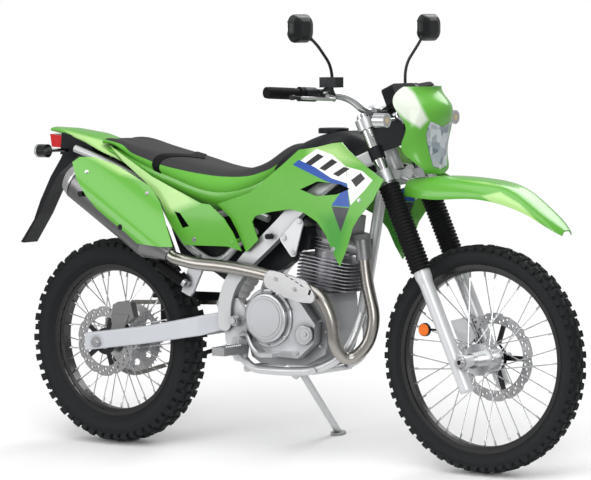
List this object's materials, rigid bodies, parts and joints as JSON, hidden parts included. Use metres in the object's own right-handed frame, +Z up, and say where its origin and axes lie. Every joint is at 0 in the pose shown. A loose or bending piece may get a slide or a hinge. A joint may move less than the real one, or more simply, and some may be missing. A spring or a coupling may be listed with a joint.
{
  "type": "dual sport motorcycle",
  "caption": "Dual sport motorcycle leaning on its side stand, with spoked wheels, long travel fork, high exhaust, long flat seat and lime green body panels.",
  "frame": {"origin": "middle of the bounding box on the floor", "axes": "+X towards the front wheel, +Y towards the rider's left, +Z up"},
  "size_m": [2.0868, 0.85, 1.3883],
  "materials": {
    "silver_frame": "satin paint",
    "steel": "machined",
    "dark_alloy": "cast, dark",
    "alloy": "satin",
    "black_plastic": "matte",
    "stainless": "heat tinted",
    "polished_steel": "polished",
    "satin_steel": "satin",
    "green_plastic": "gloss",
    "spring_steel": "satin paint",
    "seat_cover": "grained",
    "red_lens": "gloss",
    "clear_lens": "clear",
    "chrome": "polished",
    "rubber": "matte",
    "chrome_plastic": "bright",
    "tyre": "matte",
    "black_rim": "gloss paint"
  },
  "bodies": {
    "chassis": {"main_frame": "silver_frame", "pivot_bolt": "steel", "subframe": "silver_frame", "crankcase": "dark_alloy", "engine_covers": "alloy", "drive_sprocket": "steel", "cylinder": "dark_alloy", "cylinder_head": "dark_alloy", "airbox": "black_plastic", "exhaust_header": "stainless", "header_shield": "polished_steel", "silencer": "satin_steel", "silencer_guard": "green_plastic", "swingarm": "alloy", "rear_axle": "steel", "shock_absorber": "spring_steel", "drive_chain": "steel", "chain_guard": "black_plastic", "fuel_tank": "black_plastic", "fuel_cap": "black_plastic", "shrouds": "green_plastic", "seat": "seat_cover", "side_covers": "green_plastic", "rear_fender": "green_plastic", "tail_lamp": "red_lens", "plate_hanger": "black_plastic", "rear_signals": "clear_lens", "rear_caliper": "alloy", "foot_controls": "alloy", "footpegs": "steel", "passenger_pegs": "dark_alloy"},
    "steering": {"steering_clamps": "alloy", "fork_tubes": "chrome", "fork_boots": "rubber", "fork_sliders": "alloy", "front_axle": "steel", "handlebar": "alloy", "grips": "rubber", "bar_controls": "black_plastic", "mirrors": "black_plastic", "instrument": "black_plastic", "headlamp_cowl": "green_plastic", "headlamp_lens": "clear_lens", "headlamp_body": "chrome_plastic", "lamp_brackets": "black_plastic", "front_fender": "green_plastic", "front_signals": "clear_lens", "front_caliper": "alloy"},
    "front_wheel": {"front_tyre": "tyre", "front_spoked_wheel": "black_rim", "front_disc": "steel"},
    "rear_wheel": {"rear_tyre": "tyre", "rear_spoked_wheel": "black_rim", "rear_disc": "steel", "rear_sprocket": "steel"},
    "side_stand": {"side_stand": "silver_frame"}
  },
  "joints": [
    {"name": "steering", "type": "hinge", "parent": "chassis", "child": "steering", "pos_m": [0.37056, -0.02691, 0.92753], "axis": [-0.4195, 0.1342, 0.8978], "range_deg": [-43, 43]},
    {"name": "front_wheel_spin", "type": "hinge", "parent": "steering", "child": "front_wheel", "pos_m": [0.70557, -0.1154, 0.33541], "axis": [0, 0.989, -0.1478], "continuous": true},
    {"name": "rear_wheel_spin", "type": "hinge", "parent": "chassis", "child": "rear_wheel", "pos_m": [-0.66443, -0.11747, 0.32157], "axis": [0, 0.989, -0.1478], "continuous": true},
    {"name": "side_stand_swing", "type": "hinge", "parent": "chassis", "child": "side_stand", "pos_m": [-0.05242, -0.00152, 0.23144], "axis": [0.165, 0.8798, 0.4457], "range_deg": [0, 101.5]}
  ]
}
